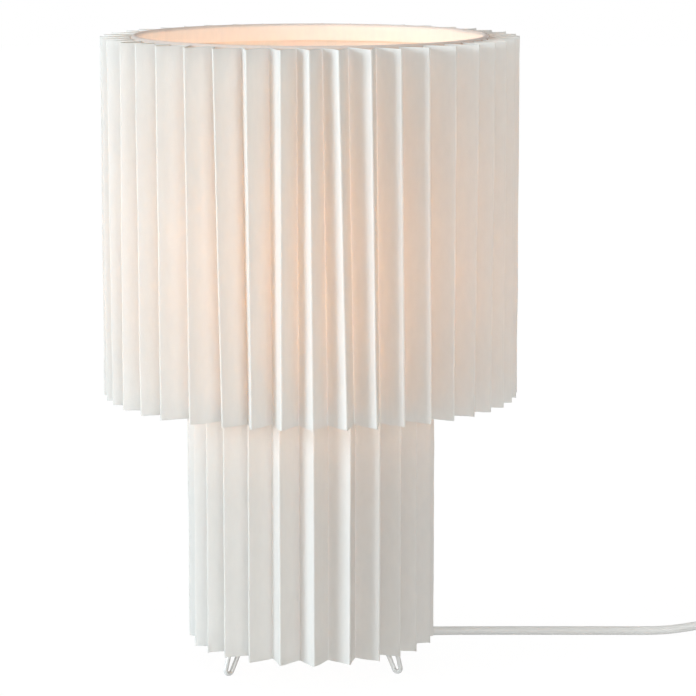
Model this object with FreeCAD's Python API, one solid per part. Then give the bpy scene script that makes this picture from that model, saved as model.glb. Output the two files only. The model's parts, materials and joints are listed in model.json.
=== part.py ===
import FreeCAD, Part
import math
import os

# Pleated paper table lamp, in millimetres. The origin is on the floor under the lamp's axis, +Z is up and
# -Y is the front. The free cord leaves the back of the column and runs along +X.

V = FreeCAD.Vector
UP = V(0, 0, 1)

# Shared clearances
FIT = 0.05  # between pieces that seat on each other
RUNNING = 0.06  # radial, round a turning pin
PRINT_STEP = 4.0  # distance between the points on which the coil's own gap is measured

# Whole lamp
HEIGHT = 415.0
HEM_STAND = 1.2  # the rolled top hem stands this much above the pleats
HEM_SETBACK = 0.5  # a bottom hem stays this much above the pleats' lower edge
TAPE = 0.3
TAPE_PLAY = 0.4  # between the tape and the ring it is rolled over
HEM_DEPTH = 9.0
WIRE_R = 1.5  # the rings, arms and legs are one gauge of wire

# Upper shade
SHADE_RIDGE_R = 135.0
SHADE_PLEAT_DEPTH = 19.0
SHADE_PLEAT_COUNT = 42
SHADE_BOTTOM = 181.5
PAPER = 0.5
LINER = 0.5

# Lower column
COLUMN_RIDGE_R = 81.0
COLUMN_PLEAT_DEPTH = 15.0
COLUMN_PLEAT_COUNT = 25
COLUMN_BOTTOM = 18.5
COLUMN_TOP = 198.0

# Wire stand
LEG_ANGLE = -27.3  # direction of the first leg, from +X
LEG_COUNT = 3
FOOT_BEND_R = 2.4  # centreline radius of the hairpin's bend
FOOT_FLAT = 0.25  # worn off the wire where it stands
FOOT_SPLAY = 0.6  # the bend's centre lies this far outside the ring's wire
KNEE_DROP = 6.0  # the outer wire runs straight down this far below the ring
KNEE_BEND_R = 8.0
HUB_Z = 108.0
HUB_R = 16.0
HUB_PLATE = 2.5
HUB_WELD_R = 11.0

# Support tube and its fasteners
TUBE_R = 5.0
TUBE_BORE_R = 3.7
TUBE_BOTTOM = 72.0
NUT_ACROSS = 14.0
NUT_THICK = 4.0
WASHER_R = 8.0
WASHER_THICK = 1.0
TUBE_END = 1.5  # tube standing out of its top nut

# Cord gland under the tube
GLAND_COLLAR_R = 9.0
GLAND_COLLAR = 8.0
GLAND_GRIP = 14.0  # length of tube inside the gland
GLAND_TAIL = 14.0
GLAND_TAIL_R = 4.3
GLAND_NECK_R = 7.4
GLAND_RIB_COUNT = 4
CORD_R = 3.0
RISER_TOP = 186.0

# Column carrier
CARRIER_Z = 168.0
CARRIER_R = 16.0
CARRIER_PLATE = 2.0
ARM_COUNT = 3
ARM_ANGLE = 90.0  # direction of the first arm, from +X
CARRIER_FLAT = 8.0
ARM_BEND_R = 9.0

# Lampholder
HOLDER_R = 19.7
HOLDER_WALL = 2.5
CAP_NECK_R = 10.0
CAP_NECK = 3.0
CAP_FLOOR = 4.0
CAP_HEIGHT = 20.0
SHELL_HEIGHT = 32.0
SHELL_LIP = 2.0
SHELL_LIP_R = 14.6
CORE_THICK = 8.0
CORE_HOLE_R = 2.5
SLEEVE_WALL = 0.6
SLEEVE_HEIGHT = 20.0
CONTACT_WIDTH = 5.0
CONTACT_THICK = 0.6
CONTACT_RISE = 1.2
CONTACT_REACH = 9.0
TERMINAL_LENGTH = 5.0
TERMINAL_WIDTH = 7.0
TERMINAL_HEIGHT = 6.0
TERMINAL_OFFSET = 9.0
TERMINAL_SCREW_R = 1.2
TERMINAL_SCREW = 4.0
TERMINAL_HEAD_R = 2.0
TERMINAL_HEAD = 1.4

# Shade carrier
SHADE_RING_R = 27.0
SHADE_RING_HEIGHT = 6.5
NOTCH_COUNT = 12
NOTCH_R = 1.6
SHADE_RING_LOW = 199.5
PLATE_RIM = 0.5  # shown by the plate outside the two threaded rings
PLATE_THICK = 1.5
ARM_DROP_RUN = 22.7  # the shade's arms start down this far inside their ring

# Bulb
BULB_CAP_R = 13.2
BULB_CAP_ROOT_R = 12.5
BULB_THREAD_COUNT = 4
BULB_THREAD_PITCH = 3.6
BULB_CAP_TOP = 6.0  # plain part of the cap above its thread
BULB_TIP_R = 5.0
BULB_TIP = 2.0
BULB_GLASS_FOOT = 4.0
COLLAR_LOW_R = 14.0
COLLAR_TOP_R = 21.0
COLLAR_HEIGHT = 26.0
GLOBE_R = 30.0

# Cord
CORD_Z = CORD_R + FIT
COIL_LAYER = 6.75
COIL_PITCH = 6.85
COIL_R = 44.8  # at its two ends
COIL_TURN_COUNT = 2.5  # in each of the two layers
COIL_STEP_COUNT = 4  # pieces of the winding in one turn

# In-line switch
SWITCH_LENGTH = 75.0
SWITCH_WIDTH = 28.0
SWITCH_END_WIDTH = 17.0
SWITCH_FACE_X = 292.0
SWITCH_EDGE_R = 2.5
WELL_LENGTH = 23.2
WELL_WIDTH = 14.4
WELL_FLOOR = 2.5
ROCKER_SIDE_GAP = 0.4
ROCKER_HALF = 10.5
ROCKER_END = 3.6
ROCKER_DIP = 2.4
ROCKER_FOOT_HALF = 9.0
ROCKER_FOOT = 3.0
ROCKER_BELLY = 4.0
ROCKER_ANGLE = 8.0
PIVOT_R = 1.0
PIVOT_DEPTH = 3.2  # below the cover's top
PIVOT_END = 2.5  # pin held in each cheek
SWITCH_SCREW_X = 27.0
SWITCH_SCREW_R = 1.5
SWITCH_HEAD_R = 2.8
SWITCH_HEAD = 2.0
SWITCH_SCREW = 14.0
BLADE_X = 7.0
BLADE_WIDTH = 6.0
BLADE_THICK = 0.8
BLADE_FOOT = 4.0
BLADE_GAP = 0.4  # under the rocker at its lowest

# Plug
PLUG_WIDTH = 35.3
PLUG_THICK = 13.7
PLUG_FRONT = 12.0
PLUG_TAPER = 18.0
PLUG_BACK = 6.0
PLUG_BACK_WIDTH = 16.0
PLUG_CORNER_R = 3.0
PLUG_EDGE_R = 2.0
RELIEF = 22.0
RELIEF_R = 6.0
RELIEF_END_R = 4.2
RELIEF_RIB_COUNT = 4
PIN_R = 2.0
PIN_ROOT_R = 1.6  # inside the plug
PIN_OUT = 19.0
PIN_IN = 8.0
PIN_SPACING = 18.6

# Worked out from the sizes above
SHADE_TOP = HEIGHT - HEM_STAND
SHADE_VALLEY_R = SHADE_RIDGE_R - SHADE_PLEAT_DEPTH
COLUMN_VALLEY_R = COLUMN_RIDGE_R - COLUMN_PLEAT_DEPTH
SWITCH_Z = CORD_Z + COIL_LAYER
SWITCH_HEIGHT = 2 * SWITCH_Z
CORD_DIAMETER = 2 * CORD_R


def fold_angles(ridge_r, valley_r, count):
    """Half the fold's angle at a ridge and at a valley of a pleated tube."""
    half = math.pi / count
    across = valley_r * math.sin(half)
    deep = ridge_r - valley_r * math.cos(half)
    at_ridge = math.atan2(across, deep)
    return at_ridge, at_ridge + half


def inner_valley(ridge_r, valley_r, count):
    """Radius of the paper's inner face at a valley."""
    return valley_r - PAPER / math.sin(fold_angles(ridge_r, valley_r, count)[1])


# Liners, rings and the heights of the hems
SHADE_LINER_R = inner_valley(SHADE_RIDGE_R, SHADE_VALLEY_R, SHADE_PLEAT_COUNT) - FIT
COLUMN_LINER_R = inner_valley(COLUMN_RIDGE_R, COLUMN_VALLEY_R, COLUMN_PLEAT_COUNT) - FIT
HEM_REACH = WIRE_R + TAPE_PLAY + TAPE  # from a ring's centre to the outside of its hem
STAND_OFF = max(HEM_REACH, LINER + FIT + WIRE_R)  # from a ring's centre to its liner's outer face
SHADE_WIRE_R = SHADE_LINER_R - STAND_OFF
COLUMN_WIRE_R = COLUMN_LINER_R - STAND_OFF
SHADE_TOP_WIRE_Z = HEIGHT - HEM_REACH
SHADE_LOW_WIRE_Z = SHADE_BOTTOM + HEM_SETBACK + HEM_REACH
COLUMN_TOP_WIRE_Z = COLUMN_TOP + HEM_STAND - HEM_REACH
COLUMN_LOW_WIRE_Z = COLUMN_BOTTOM + HEM_SETBACK + HEM_REACH
# Lampholder heights
HOLDER_Z = CARRIER_Z + CARRIER_PLATE
SHELL_Z = HOLDER_Z + CAP_HEIGHT
CORE_TOP = SHELL_Z + CORE_THICK
SHELL_TOP = SHELL_Z + SHELL_HEIGHT
CONTACT_TOP = CORE_TOP + CONTACT_RISE + CONTACT_THICK
TUBE_TOP = HOLDER_Z + CAP_FLOOR + NUT_THICK + TUBE_END
GLAND_BOTTOM = TUBE_BOTTOM - GLAND_TAIL
PLATE_Z = SHADE_RING_LOW + SHADE_RING_HEIGHT
PLATE_R = SHADE_RING_R + PLATE_RIM


def polar(radius, degrees, z=0.0):
    a = math.radians(degrees)
    return V(radius * math.cos(a), radius * math.sin(a), z)


def turned(shape, degrees):
    copy = shape.copy()
    copy.rotate(V(0, 0, 0), UP, degrees)
    return copy


def around(start, count):
    return [start + 360 * k / count for k in range(count)]


def tube(outer_r, inner_r, z0, z1):
    outside = Part.makeCylinder(outer_r, z1 - z0, V(0, 0, z0))
    return outside.cut(Part.makeCylinder(inner_r, z1 - z0, V(0, 0, z0)))


def revolved(points):
    """A body of revolution about Z, from its outline as (radius, height)."""
    outline = [V(r, 0, z) for r, z in points]
    face = Part.Face(Part.makePolygon(outline + outline[:1]))
    return face.revolve(V(0, 0, 0), UP, 360)


def prism(points, z0, z1):
    """A straight prism between two heights, from its plan."""
    plan = [V(x, y, z0) for x, y in points]
    return Part.Face(Part.makePolygon(plan + plan[:1])).extrude(V(0, 0, z1 - z0))


def hexagon(across, z0, z1, hole_r):
    corners = [polar(across / math.sqrt(3), 60 * k) for k in range(6)]
    nut = prism([(c.x, c.y) for c in corners], z0, z1)
    return nut.cut(Part.makeCylinder(hole_r, z1 - z0, V(0, 0, z0)))


def swept(edges, radius):
    """A round bar of the given radius along joined edges."""
    path = Part.Wire(edges)
    start = edges[0].valueAt(edges[0].FirstParameter)
    ahead = edges[0].tangentAt(edges[0].FirstParameter)
    section = Part.Wire([Part.Circle(start, ahead, radius).toShape()])
    return path.makePipeShell([section], True, False)


def bent(points, radii):
    """Edges of straight runs joined by tangent arcs of the given radii, one for each inner point."""
    edges = []
    here = points[0]
    for k, radius in enumerate(radii, start=1):
        corner = points[k]
        back = (points[k - 1] - corner).normalize()
        ahead = (points[k + 1] - corner).normalize()
        half_turn = (math.pi - back.getAngle(ahead)) / 2
        reach = radius * math.tan(half_turn)
        enter = corner + back * reach
        leave = corner + ahead * reach
        inward = (back + ahead).normalize()
        middle = corner + inward * (radius / math.cos(half_turn) - radius)
        edges.append(Part.LineSegment(here, enter).toShape())
        edges.append(Part.Arc(enter, middle, leave).toShape())
        here = leave
    edges.append(Part.LineSegment(here, points[-1]).toShape())
    return edges


def cord_radii(points):
    """The largest even bends that a cord's route leaves room for."""
    radii = []
    for k in range(1, len(points) - 1):
        back = points[k - 1] - points[k]
        ahead = points[k + 1] - points[k]
        half_turn = (math.pi - back.getAngle(ahead)) / 2
        radii.append(0.45 * min(back.Length, ahead.Length) / math.tan(half_turn))
    return radii


def cord_tube(name, points):
    radii = cord_radii(points)
    edges = bent(points, radii)
    solid = swept(edges, CORD_R)
    length = sum(e.Length for e in edges)
    share = solid.Volume / (math.pi * CORD_R**2 * length)
    print(name, "length", round(length, 1), "radii", [round(r, 1) for r in radii], "volume share", round(share, 4))
    return solid


# --- pleated paper, liners and hems ---


def pleated_skin(ridge_r, valley_r, count, z0, z1):
    """Paper of even thickness folded into a closed ring of sharp pleats."""
    at_ridge, at_valley = fold_angles(ridge_r, valley_r, count)
    inside = (ridge_r - PAPER / math.sin(at_ridge), valley_r - PAPER / math.sin(at_valley))
    wires = []
    for ridge, valley in ((ridge_r, valley_r), inside):
        corners = []
        for k in range(count):
            corners.append(polar(ridge, -90 + 360 * k / count, z0))
            corners.append(polar(valley, -90 + 360 * (k + 0.5) / count, z0))
        wires.append(Part.makePolygon(corners + corners[:1]))
    return Part.makeFace(wires, "Part::FaceMakerBullseye").extrude(V(0, 0, z1 - z0))


def ring(radius, z):
    return Part.makeTorus(radius, WIRE_R, V(0, 0, z))


def hem(radius, z, up):
    """Tape rolled over a ring, with its inner leg glued to the liner; up is 1 at a top edge, -1 at a bottom one."""
    near = WIRE_R + TAPE_PLAY
    far = near + TAPE
    low = z - up * HEM_DEPTH
    outline = [
        Part.LineSegment(V(radius + near, 0, z), V(radius + far, 0, z)),
        Part.Arc(V(radius + far, 0, z), V(radius, 0, z + up * far), V(radius - far, 0, z)),
        Part.LineSegment(V(radius - far, 0, z), V(radius - far, 0, low)),
        Part.LineSegment(V(radius - far, 0, low), V(radius - near, 0, low)),
        Part.LineSegment(V(radius - near, 0, low), V(radius - near, 0, z)),
        Part.Arc(V(radius - near, 0, z), V(radius, 0, z + up * near), V(radius + near, 0, z)),
    ]
    face = Part.Face(Part.Wire([e.toShape() for e in outline]))
    return face.revolve(V(0, 0, 0), UP, 360)


def slotted(tape, cutter, first, count):
    """The tape with a slot for each of the wires that pass through it."""
    for direction in around(first, count):
        tape = tape.cut(turned(cutter, direction))
    return tape


def liner(outer_r, low_wire_z, top_wire_z):
    return tube(outer_r, outer_r - LINER, low_wire_z + FIT, top_wire_z - FIT)


# --- wire stand ---


def tangent_point(point, centre, radius, outward):
    """Where a line from point touches a circle, on its outer or inner side; all in (radius, height)."""
    to_centre = centre - point
    spread = math.asin(radius / to_centre.Length)
    reach = math.sqrt(to_centre.Length**2 - radius**2)
    found = []
    for sign in (1, -1):
        heading = math.atan2(to_centre.z, to_centre.x) + sign * spread
        found.append(point + V(math.cos(heading), 0, math.sin(heading)) * reach)
    found.sort(key=lambda p: p.x)
    return found[1] if outward else found[0]


def foot_tangents():
    """The points where a hairpin's two straight wires join its bend, its bend's centre and the knee."""
    centre = V(COLUMN_WIRE_R + FOOT_SPLAY, 0, WIRE_R - FOOT_FLAT + FOOT_BEND_R)
    knee = V(COLUMN_WIRE_R, 0, COLUMN_LOW_WIRE_Z - KNEE_DROP)
    top = V(HUB_WELD_R, 0, HUB_Z)
    outer = tangent_point(knee, centre, FOOT_BEND_R, True)
    inner = tangent_point(top, centre, FOOT_BEND_R, False)
    return knee, outer, centre, inner, top


def stand_leg(degrees):
    """One hairpin: down from the ring, round the foot, and up to the hub."""
    knee, outer, centre, inner, top = foot_tangents()
    start = V(COLUMN_WIRE_R, 0, COLUMN_LOW_WIRE_Z)
    past_top = top + (top - inner).normalize() * WIRE_R * 2
    edges = bent([start, knee, outer], [KNEE_BEND_R])
    edges.append(Part.Arc(outer, centre - UP * FOOT_BEND_R, inner).toShape())
    edges.append(Part.LineSegment(inner, past_top).toShape())
    wire = swept(edges, WIRE_R)
    room = Part.makeCylinder(SHADE_RIDGE_R, HUB_Z)
    seat = Part.makeTorus(COLUMN_WIRE_R, WIRE_R + FIT / 2, V(0, 0, COLUMN_LOW_WIRE_Z))
    return turned(wire.common(room).cut(seat), degrees)


def column_arm_points():
    level = CARRIER_Z + CARRIER_PLATE / 2
    return [
        V(CARRIER_R, 0, level),
        V(CARRIER_R + CARRIER_FLAT, 0, level),
        V(COLUMN_WIRE_R, 0, COLUMN_TOP_WIRE_Z),
    ]


def shade_arm_points():
    level = PLATE_Z + PLATE_THICK / 2
    drop = SHADE_WIRE_R - ARM_DROP_RUN
    return [V(PLATE_R, 0, level), V(drop, 0, level), V(SHADE_WIRE_R, 0, SHADE_LOW_WIRE_Z)]


def carrier_arm(points, degrees):
    """A wire arm from a hub's rim, level and then sloping to its ring, where it is welded."""
    wire = swept(bent(points, [ARM_BEND_R]), WIRE_R)
    seat = Part.makeTorus(points[-1].x, WIRE_R + FIT / 2, V(0, 0, points[-1].z))
    kept = max(wire.cut(seat).Solids, key=lambda s: s.Volume)
    return turned(kept, degrees)


def arm_slot(points):
    """Room for an arm in the tape that it passes through."""
    return swept(bent(points, [ARM_BEND_R]), WIRE_R + TAPE_PLAY)


def leg_slot():
    place = V(COLUMN_WIRE_R, 0, COLUMN_LOW_WIRE_Z - HEM_DEPTH)
    return Part.makeCylinder(WIRE_R + TAPE_PLAY / 2, HEM_DEPTH, place)


def column_hem_top():
    tape = hem(COLUMN_WIRE_R, COLUMN_TOP_WIRE_Z, 1)
    return slotted(tape, arm_slot(column_arm_points()), ARM_ANGLE, ARM_COUNT)


def column_hem_low():
    tape = hem(COLUMN_WIRE_R, COLUMN_LOW_WIRE_Z, -1)
    return slotted(tape, leg_slot(), LEG_ANGLE, LEG_COUNT)


def shade_hem_low():
    tape = hem(SHADE_WIRE_R, SHADE_LOW_WIRE_Z, -1)
    return slotted(tape, arm_slot(shade_arm_points()), ARM_ANGLE, ARM_COUNT)


# --- support tube, gland and cord inside ---


def gland():
    """Ribbed strain relief that grips the tube's lower end."""
    top = TUBE_BOTTOM + GLAND_GRIP
    neck = top - GLAND_COLLAR
    rib = (neck - GLAND_BOTTOM) / (2 * GLAND_RIB_COUNT)
    slope = (GLAND_NECK_R - GLAND_TAIL_R) / (neck - GLAND_BOTTOM)
    outline = [(CORD_R + FIT, GLAND_BOTTOM), (GLAND_TAIL_R, GLAND_BOTTOM)]
    for k in range(GLAND_RIB_COUNT):
        z = GLAND_BOTTOM + (2 * k + 1) * rib
        outer_r = GLAND_TAIL_R + slope * (z - GLAND_BOTTOM)
        outline += [(outer_r, z), (outer_r + WIRE_R / 2, z), (outer_r + WIRE_R / 2, z + rib)]
        outline.append((outer_r + slope * rib, z + rib))
    outline += [(GLAND_COLLAR_R, neck), (GLAND_COLLAR_R, top), (TUBE_R + FIT, top)]
    outline += [(TUBE_R + FIT, TUBE_BOTTOM - FIT), (CORD_R + FIT, TUBE_BOTTOM - FIT)]
    return revolved(outline)


def tube_nuts():
    """Three nuts: above and under the stand's hub, and inside the lampholder's cap; one more under the carrier."""
    hub_top = HUB_Z + HUB_PLATE
    places = [
        HUB_Z - NUT_THICK,
        hub_top + WASHER_THICK,
        CARRIER_Z - WASHER_THICK - NUT_THICK,
        HOLDER_Z + CAP_FLOOR,
    ]
    return Part.makeCompound([hexagon(NUT_ACROSS, z, z + NUT_THICK, TUBE_R + FIT) for z in places])


def tube_washers():
    places = [HUB_Z + HUB_PLATE, CARRIER_Z - WASHER_THICK]
    return Part.makeCompound([tube(WASHER_R, TUBE_R + FIT, z, z + WASHER_THICK) for z in places])


# --- lampholder ---


def holder_cap():
    """Domed lower half that sits on the column's carrier."""
    top = HOLDER_Z + CAP_HEIGHT
    shoulder = HOLDER_R - HOLDER_WALL
    outline = [
        Part.LineSegment(V(TUBE_R + FIT, 0, HOLDER_Z), V(CAP_NECK_R, 0, HOLDER_Z)),
        Part.LineSegment(V(CAP_NECK_R, 0, HOLDER_Z), V(CAP_NECK_R, 0, HOLDER_Z + CAP_NECK)),
        Part.Arc(
            V(CAP_NECK_R, 0, HOLDER_Z + CAP_NECK),
            V(CAP_NECK_R + 0.78 * (HOLDER_R - CAP_NECK_R), 0, HOLDER_Z + CAP_NECK + 0.35 * (CAP_HEIGHT - CAP_NECK)),
            V(HOLDER_R, 0, top),
        ),
        Part.LineSegment(V(HOLDER_R, 0, top), V(shoulder, 0, top)),
        Part.LineSegment(V(shoulder, 0, top), V(shoulder, 0, top - HOLDER_WALL)),
        Part.LineSegment(V(shoulder, 0, top - HOLDER_WALL), V(CAP_NECK_R, 0, HOLDER_Z + CAP_FLOOR)),
        Part.LineSegment(V(CAP_NECK_R, 0, HOLDER_Z + CAP_FLOOR), V(TUBE_R + FIT, 0, HOLDER_Z + CAP_FLOOR)),
        Part.LineSegment(V(TUBE_R + FIT, 0, HOLDER_Z + CAP_FLOOR), V(TUBE_R + FIT, 0, HOLDER_Z)),
    ]
    face = Part.Face(Part.Wire([e.toShape() for e in outline]))
    return face.revolve(V(0, 0, 0), UP, 360)


def holder_shell():
    body = tube(HOLDER_R, HOLDER_R - HOLDER_WALL, SHELL_Z, SHELL_TOP)
    lip = tube(HOLDER_R - HOLDER_WALL / 2, SHELL_LIP_R, SHELL_TOP - SHELL_LIP, SHELL_TOP)
    return body.fuse(lip).removeSplitter()


def holder_core():
    """Ceramic disc that carries the sleeve and contact."""
    return tube(HOLDER_R - HOLDER_WALL - FIT, CORE_HOLE_R, SHELL_Z, CORE_TOP)


def holder_sleeve():
    inner_r = BULB_CAP_R + 2 * FIT
    return tube(inner_r + SLEEVE_WALL, inner_r, CORE_TOP, CORE_TOP + SLEEVE_HEIGHT)


def holder_contact():
    """Sprung tongue: flat at its rivet, then rising to the bulb's tip."""
    half = CONTACT_WIDTH / 2
    low = CORE_TOP
    high = CORE_TOP + CONTACT_RISE
    profile = [
        V(-CONTACT_REACH, -half, low),
        V(-CONTACT_REACH / 2, -half, low),
        V(0, -half, high),
        V(BULB_TIP_R / 2, -half, high),
        V(BULB_TIP_R / 2, -half, high + CONTACT_THICK),
        V(-CONTACT_THICK / 4, -half, high + CONTACT_THICK),
        V(-CONTACT_REACH / 2 - CONTACT_THICK / 4, -half, low + CONTACT_THICK),
        V(-CONTACT_REACH, -half, low + CONTACT_THICK),
    ]
    return Part.Face(Part.makePolygon(profile + profile[:1])).extrude(V(0, CONTACT_WIDTH, 0))


def both_sides(offset):
    return (V(-offset, 0, 0), V(offset, 0, 0))


def holder_terminals():
    """Brass blocks under the core, each with its screw's hole."""
    blocks = []
    for side in both_sides(TERMINAL_OFFSET):
        seat = side + V(0, 0, SHELL_Z - TERMINAL_HEIGHT)
        corner = seat - V(TERMINAL_LENGTH / 2, TERMINAL_WIDTH / 2, 0)
        block = Part.makeBox(TERMINAL_LENGTH, TERMINAL_WIDTH, TERMINAL_HEIGHT, corner)
        hole = Part.makeCylinder(TERMINAL_SCREW_R + FIT, TERMINAL_SCREW, seat)
        blocks.append(block.cut(hole))
    return Part.makeCompound(blocks)


def terminal_screws():
    screws = []
    for side in both_sides(TERMINAL_OFFSET):
        seat = side + V(0, 0, SHELL_Z - TERMINAL_HEIGHT)
        shank = Part.makeCylinder(TERMINAL_SCREW_R, TERMINAL_SCREW - FIT, seat)
        head = Part.makeCylinder(TERMINAL_HEAD_R, TERMINAL_HEAD, seat - UP * TERMINAL_HEAD)
        screws.append(shank.fuse(head))
    return Part.makeCompound(screws)


def shade_ring(z):
    """Threaded ring with finger notches round its edge."""
    body = tube(SHADE_RING_R, HOLDER_R + FIT, z, z + SHADE_RING_HEIGHT)
    for k in range(NOTCH_COUNT):
        place = polar(SHADE_RING_R + NOTCH_R / 3, 360 * k / NOTCH_COUNT, z)
        body = body.cut(Part.makeCylinder(NOTCH_R, SHADE_RING_HEIGHT, place))
    return body


# --- bulb ---


def bulb_bottom():
    return CONTACT_TOP + FIT


def bulb_tip():
    """Solder tip with the glass foot that keeps it off the cap."""
    z = bulb_bottom()
    tip = Part.makeCylinder(BULB_TIP_R, BULB_TIP, V(0, 0, z))
    foot = Part.makeCone(BULB_TIP_R + 1, BULB_CAP_ROOT_R, BULB_GLASS_FOOT, V(0, 0, z + BULB_TIP))
    return tip.fuse(foot)


def bulb_cap():
    """Screw cap with its rolled thread as round ridges."""
    z = bulb_bottom() + BULB_TIP + BULB_GLASS_FOOT
    outline = []
    for k in range(BULB_THREAD_COUNT):
        low = z + k * BULB_THREAD_PITCH
        start = V(BULB_CAP_ROOT_R, 0, low)
        crest = V(BULB_CAP_R, 0, low + BULB_THREAD_PITCH / 2)
        end = V(BULB_CAP_ROOT_R, 0, low + BULB_THREAD_PITCH)
        outline.append(Part.Arc(start, crest, end))
    thread_top = z + BULB_THREAD_COUNT * BULB_THREAD_PITCH
    top = thread_top + BULB_CAP_TOP
    outline += [
        Part.LineSegment(V(BULB_CAP_ROOT_R, 0, thread_top), V(BULB_CAP_R, 0, thread_top + BULB_CAP_TOP / 3)),
        Part.LineSegment(V(BULB_CAP_R, 0, thread_top + BULB_CAP_TOP / 3), V(BULB_CAP_R, 0, top)),
        Part.LineSegment(V(BULB_CAP_R, 0, top), V(0, 0, top)),
        Part.LineSegment(V(0, 0, top), V(0, 0, z)),
        Part.LineSegment(V(0, 0, z), V(BULB_CAP_ROOT_R, 0, z)),
    ]
    face = Part.Face(Part.Wire([e.toShape() for e in outline]))
    return face.revolve(V(0, 0, 0), UP, 360)


def collar_bottom():
    thread = BULB_THREAD_COUNT * BULB_THREAD_PITCH
    return bulb_bottom() + BULB_TIP + BULB_GLASS_FOOT + thread + BULB_CAP_TOP


def bulb_collar():
    """Flared plastic collar between cap and globe."""
    z = collar_bottom()
    top = z + COLLAR_HEIGHT
    waist = V(COLLAR_LOW_R + 0.25 * (COLLAR_TOP_R - COLLAR_LOW_R), 0, z + 0.55 * COLLAR_HEIGHT)
    outline = [
        Part.Arc(V(COLLAR_LOW_R, 0, z), waist, V(COLLAR_TOP_R, 0, top)),
        Part.LineSegment(V(COLLAR_TOP_R, 0, top), V(0, 0, top)),
        Part.LineSegment(V(0, 0, top), V(0, 0, z)),
        Part.LineSegment(V(0, 0, z), V(COLLAR_LOW_R, 0, z)),
    ]
    face = Part.Face(Part.Wire([e.toShape() for e in outline]))
    return face.revolve(V(0, 0, 0), UP, 360)


def bulb_globe():
    z = collar_bottom() + COLLAR_HEIGHT
    centre = V(0, 0, z + math.sqrt(GLOBE_R**2 - COLLAR_TOP_R**2))
    globe = Part.makeSphere(GLOBE_R, centre)
    return globe.cut(Part.makeCylinder(GLOBE_R, GLOBE_R, V(0, 0, z - GLOBE_R)))


# --- free cord ---

LEAD_ROUTE = [
    V(0, 0, GLAND_BOTTOM),
    V(0, 0, 29),
    V(15, 22, CORD_Z),
    V(33, 50, CORD_Z),
    V(56, 67, CORD_Z),
    V(86, 70, CORD_Z),
    V(206, 70, CORD_Z),
    V(240, 69.4, CORD_Z),
    V(262, 69.8, 6.2),
    V(281, 70, SWITCH_Z),
    V(SWITCH_FACE_X, 70, SWITCH_Z),
]
CORD_Y = LEAD_ROUTE[-1].y
LINK_EXIT = 20.0  # straight out of the switch
LINK_BEND_X = SWITCH_FACE_X + SWITCH_LENGTH + LINK_EXIT
LINK_RUN = 16.0
TAIL_RUN = 13.0
TAIL_REACH = 30.0  # from the tail's bend to its top, along -X
TAIL_SHIFT = 9.0  # and along +Y, clear of the stand
TAIL_END = 14.0


def coil_place(turn):
    """Radius, angle and height of the coil's centreline after the given number of turns."""
    whole = 2 * COIL_TURN_COUNT + 0.5
    slope = COIL_PITCH  # per turn
    reverse = COIL_TURN_COUNT
    done = turn - reverse
    if done <= 0:
        radius = COIL_R - slope * turn
        height = SWITCH_Z
    elif done < 0.5:
        radius = COIL_R - slope * reverse - slope * done * (1 - 2 * done)
        share = 2 * done
        height = SWITCH_Z - COIL_LAYER * share**2 * (3 - 2 * share)
    else:
        radius = COIL_R - slope * reverse + slope * (done - 0.5)
        height = CORD_Z
    assert turn <= whole + 1e-9
    return radius, 90 - 360 * turn, height


def coil_point(turn):
    radius, degrees, height = coil_place(turn)
    return polar(radius, degrees, height)


def coil_direction(turn):
    step = 1e-4
    whole = 2 * COIL_TURN_COUNT + 0.5
    low = max(0.0, turn - step)
    high = min(whole, turn + step)
    return (coil_point(high) - coil_point(low)).normalize()


def biarc(p0, t0, p1, t1):
    """Two arcs that leave p0 along t0 and reach p1 along t1."""
    chord = p1 - p0
    both = t0 + t1
    a = 2 * (1 - t0.dot(t1))
    b = 2 * chord.dot(both)
    c = -chord.dot(chord)
    d = (-b + math.sqrt(b * b - 4 * a * c)) / (2 * a)
    joint = (p0 + t0 * d + p1 - t1 * d) * 0.5
    arcs = []
    for start, end, corner in ((p0, joint, p0 + t0 * d), (joint, p1, p1 - t1 * d)):
        chord_middle = (start + end) * 0.5
        half = (start - chord_middle).Length
        rise = corner - chord_middle
        sagitta = half * math.tan(math.atan2(rise.Length, half) / 2)
        middle = chord_middle + rise.normalize() * sagitta
        arcs.append(Part.Arc(start, middle, end).toShape())
    return arcs


def coil_centre():
    """The coil lies where the link's last run meets its start along the winding."""
    ahead = coil_direction(0)
    start = V(LINK_BEND_X, CORD_Y, SWITCH_Z) + ahead * (LINK_RUN + CORD_DIAMETER)
    offset = start - coil_point(0)
    return V(offset.x, offset.y, 0)


def coil_ends():
    """Where the coil's straight ends meet the link and the tail, and its direction at the tail."""
    whole = 2 * COIL_TURN_COUNT + 0.5
    centre = coil_centre()
    first = centre + coil_point(0) - coil_direction(0) * CORD_DIAMETER
    last = centre + coil_point(whole) + coil_direction(whole) * CORD_DIAMETER
    return first, last, coil_direction(whole)


def cord_coil():
    """Two layers of turns: in along the upper one, down half a turn, and out along the lower one."""
    centre = coil_centre()
    whole = 2 * COIL_TURN_COUNT + 0.5
    count = round(whole * COIL_STEP_COUNT)
    marks = [whole * k / count for k in range(count + 1)]
    places = [centre + coil_point(m) for m in marks]
    headings = [coil_direction(m) for m in marks]
    first, last, _ = coil_ends()
    edges = [Part.LineSegment(first, places[0]).toShape()]
    for k in range(count):
        edges += biarc(places[k], headings[k], places[k + 1], headings[k + 1])
    edges.append(Part.LineSegment(places[-1], last).toShape())
    solid = swept(edges, CORD_R)
    length = sum(e.Length for e in edges)
    share = solid.Volume / (math.pi * CORD_R**2 * length)
    print("coil length", round(length, 1), "volume share", round(share, 4), "least gap", round(coil_gap(edges), 2))
    return solid


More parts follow.
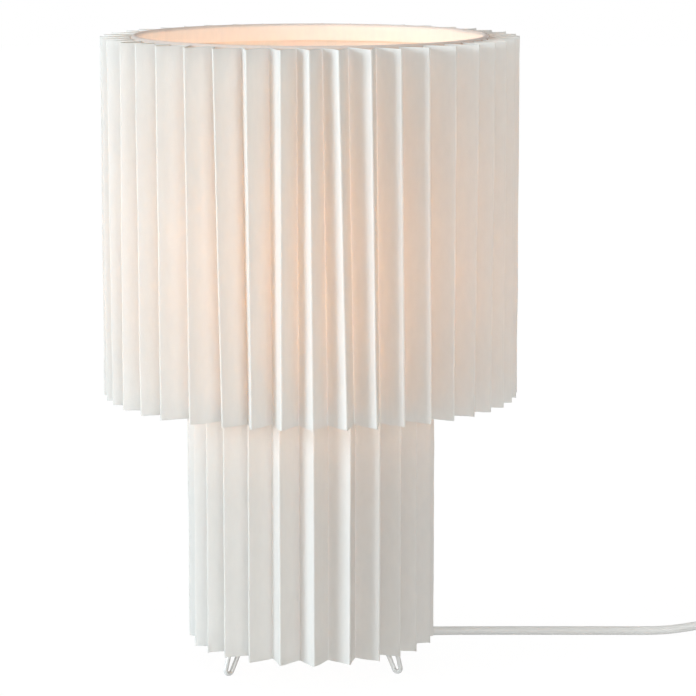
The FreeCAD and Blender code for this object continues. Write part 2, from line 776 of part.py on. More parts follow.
def coil_gap(edges):
    """Least distance between the coil's turns, less its diameter."""
    points = []
    along = 0.0
    for edge in edges:
        steps = max(1, round(edge.Length / PRINT_STEP))
        for k in range(steps):
            share = (k + 0.5) / steps
            span = edge.LastParameter - edge.FirstParameter
            points.append((along + share * edge.Length, edge.valueAt(edge.FirstParameter + share * span)))
        along += edge.Length
    apart = COIL_R * 2
    least = apart
    for i, (s, p) in enumerate(points):
        for t, q in points[i + 1 :]:
            if t - s > apart:
                least = min(least, (q - p).Length)
    return least - CORD_DIAMETER


def cord_lead():
    return cord_tube("lead", LEAD_ROUTE)


def cord_link():
    first, _, _ = coil_ends()
    start = V(SWITCH_FACE_X + SWITCH_LENGTH, CORD_Y, SWITCH_Z)
    return cord_tube("link", [start, V(LINK_BEND_X, CORD_Y, SWITCH_Z), first])


def tail_route():
    _, last, ahead = coil_ends()
    bend = last + ahead * TAIL_RUN
    top = bend + V(-TAIL_REACH, TAIL_SHIFT, 0)
    top.z = PLUG_THICK / 2
    return [last, bend, top, top - V(TAIL_END, 0, 0)]


def cord_tail():
    return cord_tube("tail", tail_route())


# --- in-line switch ---


def moved_to_switch(shape):
    middle = SWITCH_FACE_X + SWITCH_LENGTH / 2
    return shape.translated(V(middle, CORD_Y, 0))


def switch_half(z0, z1):
    """One half of the housing, from its plan with bowed sides."""
    half = SWITCH_LENGTH / 2
    end = SWITCH_END_WIDTH / 2
    side = SWITCH_WIDTH / 2
    plan = [
        Part.Arc(V(-half, -end, z0), V(0, -side, z0), V(half, -end, z0)),
        Part.LineSegment(V(half, -end, z0), V(half, end, z0)),
        Part.Arc(V(half, end, z0), V(0, side, z0), V(-half, end, z0)),
        Part.LineSegment(V(-half, end, z0), V(-half, -end, z0)),
    ]
    return Part.Face(Part.Wire([e.toShape() for e in plan])).extrude(V(0, 0, z1 - z0))


def edges_at(shape, z):
    """Edges that lie wholly at one height."""
    return [e for e in shape.Edges if all(abs(v.Point.z - z) < 1e-6 for v in e.Vertexes)]


def screw_places():
    return both_sides(SWITCH_SCREW_X)


def well(z0, z1):
    return Part.makeBox(WELL_LENGTH, WELL_WIDTH, z1 - z0, V(-WELL_LENGTH / 2, -WELL_WIDTH / 2, z0))


def switch_base():
    body = switch_half(0, SWITCH_Z)
    body = body.makeFillet(SWITCH_EDGE_R, edges_at(body, 0))
    body = body.cut(well(WELL_FLOOR, SWITCH_Z))
    for place in screw_places():
        body = body.cut(Part.makeCylinder(SWITCH_SCREW_R + FIT, SWITCH_Z, place))
        body = body.cut(Part.makeCylinder(SWITCH_HEAD_R + FIT, SWITCH_HEAD, place))
    return moved_to_switch(body)


def pivot_z():
    return SWITCH_HEIGHT - PIVOT_DEPTH


def pivot_pin(radius, half_length):
    return Part.makeCylinder(radius, 2 * half_length, V(0, -half_length, pivot_z()), V(0, 1, 0))


def switch_cover():
    body = switch_half(SWITCH_Z, SWITCH_HEIGHT)
    body = body.makeFillet(SWITCH_EDGE_R, edges_at(body, SWITCH_HEIGHT))
    body = body.cut(well(SWITCH_Z, SWITCH_HEIGHT))
    body = body.cut(pivot_pin(PIVOT_R + FIT / 2, WELL_WIDTH / 2 + PIVOT_END + FIT))
    for place in screw_places():
        depth = SWITCH_SCREW - SWITCH_Z + SWITCH_HEAD
        body = body.cut(Part.makeCylinder(SWITCH_SCREW_R + FIT, depth + FIT, place + UP * SWITCH_Z))
    return moved_to_switch(body)


def switch_pivot():
    return moved_to_switch(pivot_pin(PIVOT_R, WELL_WIDTH / 2 + PIVOT_END))


def switch_rocker():
    """Rocker with a shallow dip, lying at one end of its tilt."""
    half_width = WELL_WIDTH / 2 - ROCKER_SIDE_GAP
    outline = [
        (-ROCKER_HALF, ROCKER_END),
        (0, ROCKER_DIP),
        (ROCKER_HALF, ROCKER_END),
        (ROCKER_FOOT_HALF, -ROCKER_FOOT),
        (0, -ROCKER_BELLY),
        (-ROCKER_FOOT_HALF, -ROCKER_FOOT),
    ]
    corners = [V(x, -half_width, pivot_z() + z) for x, z in outline]
    body = Part.Face(Part.makePolygon(corners + corners[:1])).extrude(V(0, 2 * half_width, 0))
    body = body.cut(pivot_pin(PIVOT_R + RUNNING, half_width))
    body.rotate(V(0, 0, pivot_z()), V(0, 1, 0), -ROCKER_ANGLE)
    return moved_to_switch(body)


def switch_screws():
    screws = []
    for place in screw_places():
        head = Part.makeCylinder(SWITCH_HEAD_R, SWITCH_HEAD - FIT, place + UP * FIT)
        shank = Part.makeCylinder(SWITCH_SCREW_R, SWITCH_SCREW, place + UP * SWITCH_HEAD)
        screws.append(moved_to_switch(head.fuse(shank)))
    return Part.makeCompound(screws)


def switch_contacts():
    """Two bent brass blades that stand under the rocker's ends."""
    tilt = math.radians(ROCKER_ANGLE)
    drop = ROCKER_FOOT * math.cos(tilt) + ROCKER_FOOT_HALF * math.sin(tilt)
    top = pivot_z() - drop - BLADE_GAP
    half = BLADE_WIDTH / 2
    blades = []
    for side in (-1, 1):
        outline = [
            V(side * BLADE_X, -half, WELL_FLOOR),
            V(side * (BLADE_X - BLADE_FOOT), -half, WELL_FLOOR),
            V(side * (BLADE_X - BLADE_FOOT), -half, WELL_FLOOR + BLADE_THICK),
            V(side * (BLADE_X - BLADE_THICK), -half, WELL_FLOOR + BLADE_THICK),
            V(side * (BLADE_X - BLADE_THICK), -half, top),
            V(side * BLADE_X, -half, top),
        ]
        blade = Part.Face(Part.makePolygon(outline + outline[:1])).extrude(V(0, BLADE_WIDTH, 0))
        blades.append(moved_to_switch(blade))
    return Part.makeCompound(blades)


# --- plug ---


def plug_length():
    return PLUG_FRONT + PLUG_TAPER + PLUG_BACK


def plug_face():
    """Centre of the plug's front face; its pins point along -X."""
    return tail_route()[-1] - V(RELIEF + plug_length(), 0, 0)


def plug_body():
    """Flat moulded body that narrows to a ribbed strain relief."""
    wide = PLUG_WIDTH / 2
    narrow = PLUG_BACK_WIDTH / 2
    back = plug_length()
    knee = PLUG_FRONT + PLUG_TAPER
    plan = [
        (0, -wide),
        (PLUG_FRONT, -wide),
        (knee, -narrow),
        (back, -narrow),
        (back, narrow),
        (knee, narrow),
        (PLUG_FRONT, wide),
        (0, wide),
    ]
    body = prism(plan, -PLUG_THICK / 2, PLUG_THICK / 2)
    upright = [e for e in body.Edges if abs(e.tangentAt(e.FirstParameter).z) > 0.9]
    body = body.makeFillet(PLUG_CORNER_R, upright)
    rims = edges_at(body, PLUG_THICK / 2) + edges_at(body, -PLUG_THICK / 2)
    body = body.makeFillet(PLUG_EDGE_R, rims)
    for side in (-1, 1):
        place = V(0, side * PIN_SPACING / 2, 0)
        body = body.cut(Part.makeCylinder(PIN_ROOT_R + FIT, PIN_IN, place, V(1, 0, 0)))
    body = body.fuse(relief(back))
    return body.removeSplitter().translated(plug_face())


def relief(x0):
    """Ribbed cone round the cord, along +X from the body's back."""
    rib = RELIEF / (2 * RELIEF_RIB_COUNT)
    slope = (RELIEF_R - RELIEF_END_R) / RELIEF
    outline = [(0, 0), (RELIEF_R, 0)]
    for k in range(RELIEF_RIB_COUNT):
        z = (2 * k + 1) * rib
        outer_r = RELIEF_R - slope * z
        outline += [(outer_r, z), (outer_r - WIRE_R / 2, z), (outer_r - WIRE_R / 2, z + rib)]
        outline.append((outer_r - slope * rib, z + rib))
    outline.append((0, RELIEF))
    cone = revolved(outline)
    cone.rotate(V(0, 0, 0), V(0, 1, 0), 90)
    return cone.translated(V(x0, 0, 0))


def plug_pins():
    """Round pins with domed tips, each on a thinner root moulded into the plug."""
    pins = []
    for side in (-1, 1):
        face = plug_face() + V(0, side * PIN_SPACING / 2, 0)
        shank = Part.makeCylinder(PIN_R, PIN_OUT - PIN_R, face, V(-1, 0, 0))
        root = Part.makeCylinder(PIN_ROOT_R, PIN_IN - FIT, face, V(1, 0, 0))
        tip = Part.makeSphere(PIN_R, face - V(PIN_OUT - PIN_R, 0, 0))
        pins.append(shank.fuse([root, tip]))
    return Part.makeCompound(pins)


# --- all pieces ---


nodes = {
    "shade_pleats": pleated_skin(SHADE_RIDGE_R, SHADE_VALLEY_R, SHADE_PLEAT_COUNT, SHADE_BOTTOM, SHADE_TOP),
    "shade_liner": liner(SHADE_LINER_R, SHADE_LOW_WIRE_Z, SHADE_TOP_WIRE_Z),
    "shade_top_ring": ring(SHADE_WIRE_R, SHADE_TOP_WIRE_Z),
    "shade_bottom_ring": ring(SHADE_WIRE_R, SHADE_LOW_WIRE_Z),
    "shade_top_hem": hem(SHADE_WIRE_R, SHADE_TOP_WIRE_Z, 1),
    "shade_bottom_hem": shade_hem_low(),
    "shade_hub_plate": tube(PLATE_R, HOLDER_R + FIT, PLATE_Z, PLATE_Z + PLATE_THICK),
    "shade_ring_lower": shade_ring(SHADE_RING_LOW),
    "shade_ring_upper": shade_ring(PLATE_Z + PLATE_THICK),
    "column_pleats": pleated_skin(COLUMN_RIDGE_R, COLUMN_VALLEY_R, COLUMN_PLEAT_COUNT, COLUMN_BOTTOM, COLUMN_TOP),
    "column_liner": liner(COLUMN_LINER_R, COLUMN_LOW_WIRE_Z, COLUMN_TOP_WIRE_Z),
    "column_top_ring": ring(COLUMN_WIRE_R, COLUMN_TOP_WIRE_Z),
    "column_top_hem": column_hem_top(),
    "column_bottom_hem": column_hem_low(),
    "column_hub_plate": tube(CARRIER_R, TUBE_R + FIT, CARRIER_Z, CARRIER_Z + CARRIER_PLATE),
    "stand_ring": ring(COLUMN_WIRE_R, COLUMN_LOW_WIRE_Z),
    "stand_hub": tube(HUB_R, TUBE_R + FIT, HUB_Z, HUB_Z + HUB_PLATE),
    "support_tube": tube(TUBE_R, TUBE_BORE_R, TUBE_BOTTOM, TUBE_TOP),
    "tube_nuts": tube_nuts(),
    "tube_washers": tube_washers(),
    "cord_gland": gland(),
    "cord_riser": Part.makeCylinder(CORD_R, RISER_TOP - GLAND_BOTTOM, V(0, 0, GLAND_BOTTOM)),
    "holder_cap": holder_cap(),
    "holder_shell": holder_shell(),
    "holder_core": holder_core(),
    "holder_sleeve": holder_sleeve(),
    "holder_contact": holder_contact(),
    "holder_terminals": holder_terminals(),
    "terminal_screws": terminal_screws(),
    "bulb_tip": bulb_tip(),
    "bulb_cap": bulb_cap(),
    "bulb_collar": bulb_collar(),
    "bulb_globe": bulb_globe(),
    "cord_lead": cord_lead(),
    "cord_link": cord_link(),
    "cord_coil": cord_coil(),
    "cord_tail": cord_tail(),
    "switch_base": switch_base(),
    "switch_cover": switch_cover(),
    "switch_rocker": switch_rocker(),
    "switch_pivot": switch_pivot(),
    "switch_screws": switch_screws(),
    "switch_contacts": switch_contacts(),
    "plug_body": plug_body(),
    "plug_pins": plug_pins(),
}

for number, direction in enumerate(around(LEG_ANGLE, LEG_COUNT), start=1):
    nodes[f"stand_leg_{number}"] = stand_leg(direction)

for number, direction in enumerate(around(ARM_ANGLE, ARM_COUNT), start=1):
    nodes[f"column_arm_{number}"] = carrier_arm(column_arm_points(), direction)
    nodes[f"shade_arm_{number}"] = carrier_arm(shade_arm_points(), direction)

os.makedirs("parts", exist_ok=True)
for name, shape in nodes.items():
    if not shape.isValid():
        print("not valid:", name)
    print(name, len(shape.Solids), round(shape.Volume, 1))
    shape.exportStep(f"parts/{name}.step")
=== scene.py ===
import json
import math

import bmesh
import bpy
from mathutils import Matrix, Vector, noise


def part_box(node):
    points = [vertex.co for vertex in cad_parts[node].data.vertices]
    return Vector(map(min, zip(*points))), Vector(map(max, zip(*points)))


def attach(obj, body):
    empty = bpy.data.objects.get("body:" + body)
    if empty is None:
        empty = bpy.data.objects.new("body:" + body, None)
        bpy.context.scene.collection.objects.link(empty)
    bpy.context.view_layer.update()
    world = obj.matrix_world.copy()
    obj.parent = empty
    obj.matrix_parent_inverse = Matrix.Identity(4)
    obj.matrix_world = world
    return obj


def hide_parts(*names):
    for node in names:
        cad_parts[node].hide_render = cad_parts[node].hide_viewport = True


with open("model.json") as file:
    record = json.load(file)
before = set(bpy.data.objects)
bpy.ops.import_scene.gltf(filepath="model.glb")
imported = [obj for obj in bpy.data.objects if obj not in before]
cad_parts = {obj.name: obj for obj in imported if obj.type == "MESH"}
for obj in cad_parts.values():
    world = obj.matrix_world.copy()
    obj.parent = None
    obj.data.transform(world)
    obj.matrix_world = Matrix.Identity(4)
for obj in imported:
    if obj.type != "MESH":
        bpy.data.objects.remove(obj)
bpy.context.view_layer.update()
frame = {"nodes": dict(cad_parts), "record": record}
nodes = frame["nodes"]


def add(name, data):
    obj = bpy.data.objects.new(name, data)
    bpy.context.scene.collection.objects.link(obj)
    return obj


# --- camera ---

CAMERA_LENS = 160.7  # mm, for a sensor 36 mm wide
CAMERA_PLACE = (0.0242, -1.999, 0.5418)
CAMERA_TILT = 80.6  # degrees up from straight down

lens = bpy.data.cameras.new("camera")
lens.lens = CAMERA_LENS
lens.sensor_width = 36
lens.clip_end = 30
camera = add("camera", lens)
camera.location = CAMERA_PLACE
camera.rotation_euler = (math.radians(CAMERA_TILT), 0, 0)
bpy.context.scene.camera = camera

# --- cord ---

CORD_D = 0.006
CORD_Z = 0.00305  # the cord's centre where it lies on the floor
SWITCH_Z = 0.0098
PLUG_Z = 0.00685
COIL_CENTRE = (0.40898, 0.02466)
COIL_R = 0.0448  # at its two ends
COIL_PITCH = 0.00685
COIL_TURNS = 2.5  # in each of the two layers
STEPS_A_TURN = 24

LEAD = [
    (0, 0, 0.058),
    (0, 0, 0.029),
    (0.015, 0.022, CORD_Z),
    (0.033, 0.050, CORD_Z),
    (0.056, 0.067, CORD_Z),
    (0.086, 0.070, CORD_Z),
    (0.206, 0.070, CORD_Z),
    (0.240, 0.0694, CORD_Z),
    (0.262, 0.0698, 0.0062),
    (0.281, 0.070, SWITCH_Z),
    (0.292, 0.070, SWITCH_Z),
]
LINK = [(0.367, 0.070, SWITCH_Z), (0.387, 0.070, SWITCH_Z)]
TAIL = [
    (0.3900, -0.0206, CORD_Z),
    (0.3600, -0.0116, PLUG_Z),
    (0.3435, -0.0116, PLUG_Z),
]


def coil_points():
    """In along the upper layer, down half a turn, and out along the lower one."""
    whole = 2 * COIL_TURNS + 0.5
    count = round(whole * STEPS_A_TURN)
    points = []
    for k in range(count + 1):
        turn = whole * k / count
        after = turn - COIL_TURNS
        inner = COIL_R - COIL_PITCH * COIL_TURNS
        if after <= 0:
            radius, z = COIL_R - COIL_PITCH * turn, SWITCH_Z
        elif after < 0.5:
            share = 2 * after
            radius = inner - COIL_PITCH * after * (1 - share)
            z = SWITCH_Z + (CORD_Z - SWITCH_Z) * share**2 * (3 - 2 * share)
        else:
            radius, z = inner + COIL_PITCH * (after - 0.5), CORD_Z
        angle = math.pi / 2 - 2 * math.pi * turn
        reach = radius / math.cos(math.pi / STEPS_A_TURN)
        x = COIL_CENTRE[0] + reach * math.cos(angle)
        y = COIL_CENTRE[1] + reach * math.sin(angle)
        points.append((x, y, z))
    return points


def add_cord():
    curve = bpy.data.curves.new("cord", "CURVE")
    curve.dimensions = "3D"
    curve.bevel_depth = 1.0  # so a point's radius is in metres
    curve.bevel_resolution = 4
    curve.resolution_u = 6
    curve.use_fill_caps = True
    spline = curve.splines.new("NURBS")
    points = LEAD + LINK + coil_points() + TAIL
    spline.points.add(len(points) - 1)
    for place, point in zip(points, spline.points):
        point.co = (*place, 1)
        point.radius = CORD_D / 2
    spline.order_u = 3
    spline.use_endpoint_u = True
    return add("cord", curve)


cord = add_cord()
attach(cord, "lamp")
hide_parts("cord_lead", "cord_link", "cord_coil", "cord_tail")

# --- materials ---


class Nodes:
    """A node tree, with short ways to add and join nodes."""

    def __init__(self, owner, output):
        owner.use_nodes = True
        self.tree = owner.node_tree
        self.tree.nodes.clear()
        self.output = self.node(output)

    def node(self, kind, **values):
        made = self.tree.nodes.new("ShaderNode" + kind)
        for key, value in values.items():
            if hasattr(made, key):
                setattr(made, key, value)
            else:
                made.inputs[key.replace("_", " ")].default_value = value
        return made

    def join(self, source, target):
        self.tree.links.new(source, target)

    def mixed(self, share, first, second):
        """The second shader by the given share, over the first; the share is a number or a socket."""
        made = self.node("MixShader")
        if isinstance(share, float):
            made.inputs["Fac"].default_value = share
        else:
            self.join(share, made.inputs["Fac"])
        self.join(first, made.inputs[1])
        self.join(second, made.inputs[2])
        return made.outputs["Shader"]

    def seen(self):
        """1 on rays from the camera and from a mirroring surface, so that both meet the pale background."""
        ray = self.node("LightPath")
        made = self.node("Math", operation="MAXIMUM")
        self.join(ray.outputs["Is Camera Ray"], made.inputs[0])
        self.join(ray.outputs["Is Glossy Ray"], made.inputs[1])
        return made.outputs["Value"]


class Shader(Nodes):
    """A material's nodes."""

    def __init__(self, name):
        self.material = bpy.data.materials.new(name)
        super().__init__(self.material, "OutputMaterial")
        self.place = self.node("TexCoord").outputs["Object"]

    def noise(self, scale, detail=3.0, stretch=(1, 1, 1)):
        mapping = self.node("Mapping")
        mapping.inputs["Scale"].default_value = stretch
        self.join(self.place, mapping.inputs["Vector"])
        made = self.node("TexNoise", Scale=scale, Detail=detail)
        self.join(mapping.outputs["Vector"], made.inputs["Vector"])
        return made.outputs["Fac"]

    def ramp(self, source, low, high, start=0.3, end=0.7):
        made = self.node("ValToRGB")
        made.color_ramp.elements[0].position = start
        made.color_ramp.elements[1].position = end
        made.color_ramp.elements[0].color = (*low, 1)
        made.color_ramp.elements[1].color = (*high, 1)
        self.join(source, made.inputs["Fac"])
        return made.outputs["Color"]

    def remap(self, source, low, high):
        made = self.node("MapRange")
        made.inputs["To Min"].default_value = low
        made.inputs["To Max"].default_value = high
        self.join(source, made.inputs["Value"])
        return made.outputs["Result"]

    def bump(self, source, height, strength=1.0):
        made = self.node("Bump", Strength=strength, Distance=height)
        self.join(source, made.inputs["Height"])
        return made.outputs["Normal"]

    def surface(self, shader):
        self.join(shader, self.output.inputs["Surface"])
        return self.material


def shade(colour, factor):
    return tuple(min(1.0, c * factor) for c in colour)


def paper(name, colour, lit, share, grain):
    """White paper that scatters light back and lets a share of it through in the lit colour."""
    s = Shader(name)
    fibre = s.noise(260, 5, (1, 1, 0.35))
    cloud = s.noise(18, 2)
    front = s.node("BsdfPrincipled", Roughness=0.72)
    front.inputs["Specular IOR Level"].default_value = 0.25
    s.join(s.ramp(cloud, shade(colour, 0.985), colour), front.inputs["Base Color"])
    through = s.node("BsdfTranslucent")
    s.join(s.ramp(fibre, shade(lit, 0.9), lit, 0.35, 0.65), through.inputs["Color"])
    normal = s.bump(s.noise(900, 4, (1, 1, 0.5)), grain)
    s.join(normal, front.inputs["Normal"])
    s.join(normal, through.inputs["Normal"])
    return s.surface(s.mixed(share, front.outputs["BSDF"], through.outputs["BSDF"]))


def solid(name, colour, rough=(0.4, 0.5), metal=0.0, grain=0.00002, scale=600, coat=0.0):
    """An opaque material whose colour, roughness and surface all vary a little."""
    s = Shader(name)
    body = s.node("BsdfPrincipled", Metallic=metal, Coat_Weight=coat)
    s.join(s.ramp(s.noise(scale / 12, 3), shade(colour, 0.97), colour), body.inputs["Base Color"])
    s.join(s.remap(s.noise(scale / 4, 4), *rough), body.inputs["Roughness"])
    s.join(s.bump(s.noise(scale, 4), grain), body.inputs["Normal"])
    return s.surface(body.outputs["BSDF"])


def lit_glass(name, colour, light, strength):
    """Opal glass with the lamp burning behind it."""
    s = Shader(name)
    body = s.node("BsdfPrincipled", Roughness=0.25)
    s.join(s.ramp(s.noise(30, 2), shade(colour, 0.98), colour), body.inputs["Base Color"])
    body.inputs["Emission Color"].default_value = (*light, 1)
    body.inputs["Emission Strength"].default_value = strength
    return s.surface(body.outputs["BSDF"])


WHITE = (0.86, 0.86, 0.855)
MATERIALS = {
    "paper": paper("pleated paper", (0.875, 0.88, 0.88), (1.0, 0.89, 0.74), 0.22, 0.00006),
    "liner": paper("liner film", (0.93, 0.93, 0.925), (1.0, 0.53, 0.12), 0.42, 0.00002),
    "tape": paper("hem tape", (0.93, 0.93, 0.925), (1.0, 0.66, 0.34), 0.38, 0.00003),
    "white_wire": solid("white coated wire", WHITE, (0.35, 0.5), grain=0.00003),
    "stand_wire": solid("stand wire coating", (0.76, 0.77, 0.775), (0.14, 0.24), grain=0.00001, coat=0.6),
    "white_steel": solid("white coated plate", WHITE, (0.4, 0.55), grain=0.00003),
    "zinc_steel": solid("zinc plated steel", (0.62, 0.63, 0.64), (0.25, 0.42), metal=1.0, scale=900),
    "holder_plastic": solid("lampholder plastic", WHITE, (0.18, 0.3), coat=0.2),
    "porcelain": solid("glazed porcelain", (0.85, 0.84, 0.81), (0.08, 0.16), coat=0.6),
    "brass": solid("brass", (0.78, 0.60, 0.30), (0.2, 0.35), metal=1.0, scale=900),
    "cord_plastic": solid("cord plastic", (0.80, 0.80, 0.795), (0.34, 0.46), grain=0.00003),
    "pin_metal": solid("nickel plate", (0.72, 0.71, 0.69), (0.15, 0.28), metal=1.0, scale=900),
    "cap_metal": solid("bright aluminium", (0.76, 0.76, 0.77), (0.18, 0.3), metal=1.0, scale=900),
    "solder": solid("solder", (0.55, 0.55, 0.55), (0.35, 0.55), metal=1.0),
    "collar_plastic": solid("collar plastic", (0.84, 0.84, 0.83), (0.42, 0.55)),
    "opal_glass": lit_glass("lit opal glass", (0.95, 0.93, 0.90), (1.0, 0.84, 0.66), 20.0),
}


def dress(obj, name):
    obj.data.materials.clear()
    obj.data.materials.append(MATERIALS[name])


for part in frame["record"]["subparts"]:
    if not nodes[part["node"]].hide_render:
        dress(nodes[part["node"]], part["material_slot"])
dress(cord, "cord_plastic")

# --- pleated paper ---

SHADE_PLEATS = 42
SHADE_RIDGE_R = 0.1348
SHADE_VALLEY_R = 0.1161
SHADE_FILM_R = 0.11465
COLUMN_PLEATS = 25
COLUMN_RIDGE_R = 0.0808
COLUMN_VALLEY_R = 0.0661
COLUMN_FILM_R = 0.0648

PAPER = 0.0005
RIDGE_BEND = 0.0007  # radius of the fold at a ridge
VALLEY_BEND = 0.0005
CORNER_INSET = 1.6  # a corner of an inset sheet lies this many insets further in
RIDGE_PLAY = 0.00025  # how far a ridge strays in or out
BOW = 0.0002  # how far a facet bends out of its plane
EDGE_PLAY = 0.0003  # unevenness of the cut edges
EDGE_TURN = 0.0012  # height of the inner side that shows at a cut edge
VALLEY_PLAY = 0.35  # degrees that a valley strays from the middle of its ridges
HIDDEN_PLAY = 0.12  # share of their gap that the unseen ridges stray
COLUMN_LEAN = 0.5  # degrees that a ridge of the column leans at most
LEVELS = 14  # rows of faces between the two cut edges
FILM_SIDES = 180
FILM_LAP = 6  # sides of the liner that overlap at the back
FILM_STEP = 0.00025

# Ridge directions in degrees from the front, to the right, from the left edge to the right one
SHADE_TOP_FRONT = [
    -79.0, -71.2, -60.7, -52.7, -44.0, -34.0, -25.3, -16.1, -7.0, 0.4,
    7.9, 16.5, 24.8, 33.1, 42.1, 51.4, 59.4, 66.7, 74.6, 82.4,
]
SHADE_LOW_FRONT = [
    -77.6, -69.7, -61.4, -51.9, -43.4, -33.1, -23.2, -15.1, -7.0, 1.2,
    10.1, 18.1, 26.1, 34.3, 42.1, 50.1, 58.4, 66.4, 74.2, 81.6,
]
COLUMN_FRONT = [-89.4, -69.7, -55.8, -43.3, -29.0, -13.6, 1.9, 18.3, 33.4, 46.0, 58.2, 75.5]


def wobble(*seed):
    """A steady irregular number from about -1 to 1."""
    return 1.6 * noise.noise(Vector([7.31 * s + 0.37 for s in seed] + [0.0] * (3 - len(seed))))


def ridges(front, count, seed):
    """The measured ridges, then evenly spaced ones with a little play round the back."""
    hidden = count - len(front)
    gap = (front[0] + 360 - front[-1]) / (hidden + 1)
    behind = [front[-1] + gap * (k + 1) + HIDDEN_PLAY * gap * wobble(k, seed) for k in range(hidden)]
    return front + behind


def direction(degrees):
    a = math.radians(degrees)
    return Vector((math.sin(a), -math.cos(a), 0))


def fold(corner, before, after, radius, steps):
    """Points round a fold that touches the two facets it joins."""
    back = (before - corner).normalized()
    ahead = (after - corner).normalized()
    half = back.angle(ahead) / 2
    centre = corner + (back + ahead).normalized() * radius / math.sin(half)
    start = corner + back * radius / math.tan(half) - centre
    turn = (math.pi - 2 * half) * (1 if back.cross(ahead).z > 0 else -1)
    points = []
    for k in range(steps + 1):
        a = -turn * k / steps
        x = start.x * math.cos(a) - start.y * math.sin(a)
        y = start.x * math.sin(a) + start.y * math.cos(a)
        points.append(centre + Vector((x, y, 0)))
    return points


def section(low, top, share, ridge_r, valley_r, seed, inset=0.0):
    """One level of the folded sheet: points round the lamp, ridge to valley to ridge."""
    count = len(low)
    turned = [a + (b - a) * share for a, b in zip(low, top)]
    sharp = math.sin(math.atan2(valley_r * math.pi / count, ridge_r - valley_r))
    reach = 1 / sharp - 1  # how far a corner stands out of its fold, in the fold's radii
    corners = []
    for k in range(count):
        here = turned[k]
        ahead = turned[(k + 1) % count] + (360 if k == count - 1 else 0)
        middle = (here + ahead) / 2 + VALLEY_PLAY * wobble(k, seed, 2)
        play = RIDGE_PLAY * wobble(k, 1.2 * share, seed)
        corners.append(direction(here) * (ridge_r + reach * RIDGE_BEND - CORNER_INSET * inset + play))
        corners.append(direction(middle) * (valley_r - reach * VALLEY_BEND - CORNER_INSET * inset))
    points = []
    total = len(corners)
    for k, corner in enumerate(corners):
        after = corners[(k + 1) % total]
        ridge = k % 2 == 0
        points += fold(corner, corners[k - 1], after, RIDGE_BEND if ridge else VALLEY_BEND, 4 if ridge else 3)
        side = (after - corner).cross(Vector((0, 0, 1))).normalized()
        bow = BOW * wobble(k, 1.2 * share, seed + 5)
        points += [corner.lerp(after, s) + side * bow * 4 * s * (1 - s) for s in (0.25, 0.5, 0.75)]
    return points


def pleats(name, low, top, ridge_r, valley_r, z0, z1, seed):
    """A folded sheet with the paper's thickness shown at both cut edges."""
    levels = [(0.0, PAPER, EDGE_TURN), (0.0, PAPER, 0.0)]
    levels += [(k / LEVELS, 0.0, 0.0) for k in range(LEVELS + 1)]
    levels += [(1.0, PAPER, 0.0), (1.0, PAPER, -EDGE_TURN)]
    mesh = bmesh.new()
    rings = []
    for share, inset, lift in levels:
        points = section(low, top, share, ridge_r, valley_r, seed, inset)
        edge = EDGE_PLAY if share in (0.0, 1.0) else 0.0
        loop = []
        for n, p in enumerate(points):
            z = z0 + (z1 - z0) * share + lift + edge * wobble(n * 0.05, share, seed)
            loop.append(mesh.verts.new((p.x, p.y, z)))
        rings.append(loop)
    for lower, upper in zip(rings, rings[1:]):
        for k in range(len(lower)):
            n = (k + 1) % len(lower)
            mesh.faces.new((lower[k], lower[n], upper[n], upper[k]))
    bmesh.ops.recalc_face_normals(mesh, faces=mesh.faces)
    data = bpy.data.meshes.new(name)
    mesh.to_mesh(data)
    mesh.free()
    data.polygons.foreach_set("use_smooth", [True] * len(data.polygons))
    data.set_sharp_from_angle(angle=math.radians(70))
    return add(name, data)


def liner(name, radius, z0, z1):
    """The smooth film inside the folds, lapped and glued at the back."""
    rows = 3
    span = FILM_SIDES + FILM_LAP
    points = []
    for row in range(rows + 1):
        z = z0 + row * (z1 - z0) / rows
        for k in range(span):
            r = radius - FILM_STEP * min(max((k - FILM_SIDES + 2) / 3, 0), 1)
            points.append(direction(180 + 360 * k / FILM_SIDES) * r + Vector((0, 0, z)))
    faces = []
    for row in range(rows):
        for k in range(span - 1):
            a = row * span + k
            faces.append((a, a + 1, a + 1 + span, a + span))
    data = bpy.data.meshes.new(name)
    data.from_pydata(points, [], faces)
    data.polygons.foreach_set("use_smooth", [True] * len(data.polygons))
    return add(name, data)


def stand_in(piece, node, slot):
    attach(piece, "lamp")
    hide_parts(node)
    dress(piece, slot)


def box_z(node):
    low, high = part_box(node)
    return low.z, high.z


shade_low = ridges(SHADE_LOW_FRONT, SHADE_PLEATS, 1)
shade_top = ridges(SHADE_TOP_FRONT, SHADE_PLEATS, 1)
column_low = ridges(COLUMN_FRONT, COLUMN_PLEATS, 4)
column_top = [a + COLUMN_LEAN * wobble(k, 9) for k, a in enumerate(column_low)]

shade_folds = pleats("shade_folds", shade_low, shade_top, SHADE_RIDGE_R, SHADE_VALLEY_R, *box_z("shade_pleats"), 1)
column_folds = pleats("column_folds", column_low, column_top, COLUMN_RIDGE_R, COLUMN_VALLEY_R,
                      *box_z("column_pleats"), 2)
stand_in(shade_folds, "shade_pleats", "paper")
stand_in(column_folds, "column_pleats", "paper")
stand_in(liner("shade_film", SHADE_FILM_R, *box_z("shade_liner")), "shade_liner", "liner")
stand_in(liner("column_film", COLUMN_FILM_R, *box_z("column_liner")), "column_liner", "liner")

# --- light and floor ---

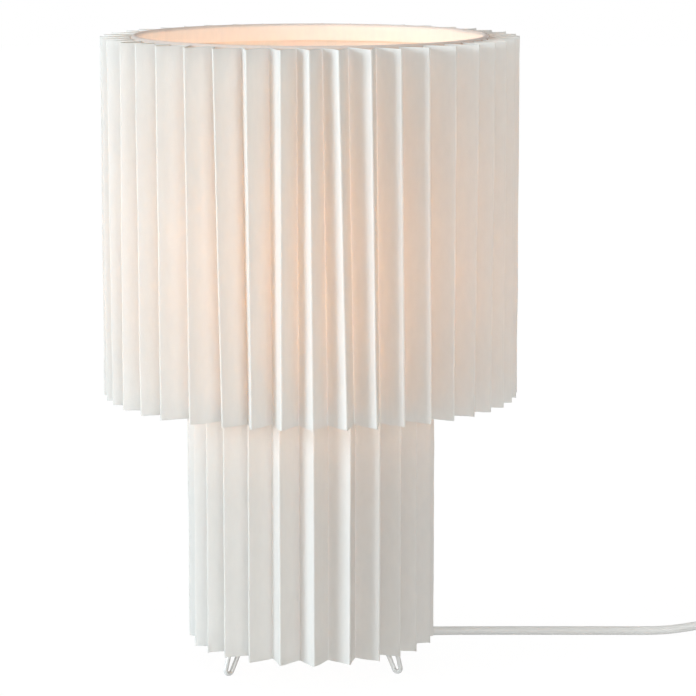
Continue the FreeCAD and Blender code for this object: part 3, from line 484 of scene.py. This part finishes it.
SUN_HEIGHT = 2
AMBIENT = (1.0, 0.985, 0.92)
AMBIENT_STRENGTH = 0.275
FLOOR_REACH = 6.0
FLOOR_GLOW = 1.04  # paleness of the floor as the camera sees it
FLOOR_SHOWN = 0.93  # share of that paleness; the rest is the floor's own surface with the shadow


def add_sun(name, azimuth, elevation, spread, energy, colour):
    """A distant soft light from the given side; azimuth is from the camera's side towards the right."""
    data = bpy.data.lights.new(name, "SUN")
    data.energy = energy
    data.color = colour
    data.angle = math.radians(spread)
    sun = add(name, data)
    sun.location = (0, 0, SUN_HEIGHT)
    sun.rotation_euler = (math.radians(90 - elevation), 0, math.radians(azimuth))


add_sun("key", azimuth=-65, elevation=5, spread=34, energy=2.75, colour=(0.92, 1.05, 1.11))
add_sun("fill", azimuth=12, elevation=6, spread=30, energy=1.2, colour=(0.98, 0.99, 0.97))
add_sun("back", azimuth=150, elevation=12, spread=60, energy=0.3, colour=(0.97, 1.0, 1.02))
add_sun("top", azimuth=0, elevation=78, spread=60, energy=0.7, colour=(0.96, 1.0, 1.03))

world = bpy.data.worlds.new("studio")
bpy.context.scene.world = world
studio = Nodes(world, "OutputWorld")
ambient = studio.node("Background", Color=(*AMBIENT, 1), Strength=AMBIENT_STRENGTH)
backdrop = studio.node("Background", Color=(1, 1, 1, 1), Strength=1.0)
light = studio.mixed(studio.seen(), ambient.outputs["Background"], backdrop.outputs["Background"])
studio.join(light, studio.output.inputs["Surface"])

corners = [(x * FLOOR_REACH, y * FLOOR_REACH, 0) for x, y in ((-1, -1), (1, -1), (1, 1), (-1, 1))]
floor_mesh = bpy.data.meshes.new("floor")
floor_mesh.from_pydata(corners, [], [(0, 1, 2, 3)])
floor = add("floor", floor_mesh)
s = Shader("studio floor")
matte = s.node("BsdfDiffuse")
s.join(s.ramp(s.noise(3, 2), (0.86, 0.86, 0.86), (0.88, 0.88, 0.88)), matte.inputs["Color"])
bright = s.node("Emission", Strength=FLOOR_GLOW)
share = s.node("Math", operation="MULTIPLY")
share.inputs[1].default_value = FLOOR_SHOWN
s.join(s.seen(), share.inputs[0])
blend = s.mixed(share.outputs["Value"], matte.outputs["BSDF"], bright.outputs["Emission"])
floor.data.materials.append(s.surface(blend))

bpy.context.scene.view_settings.view_transform = "Standard"
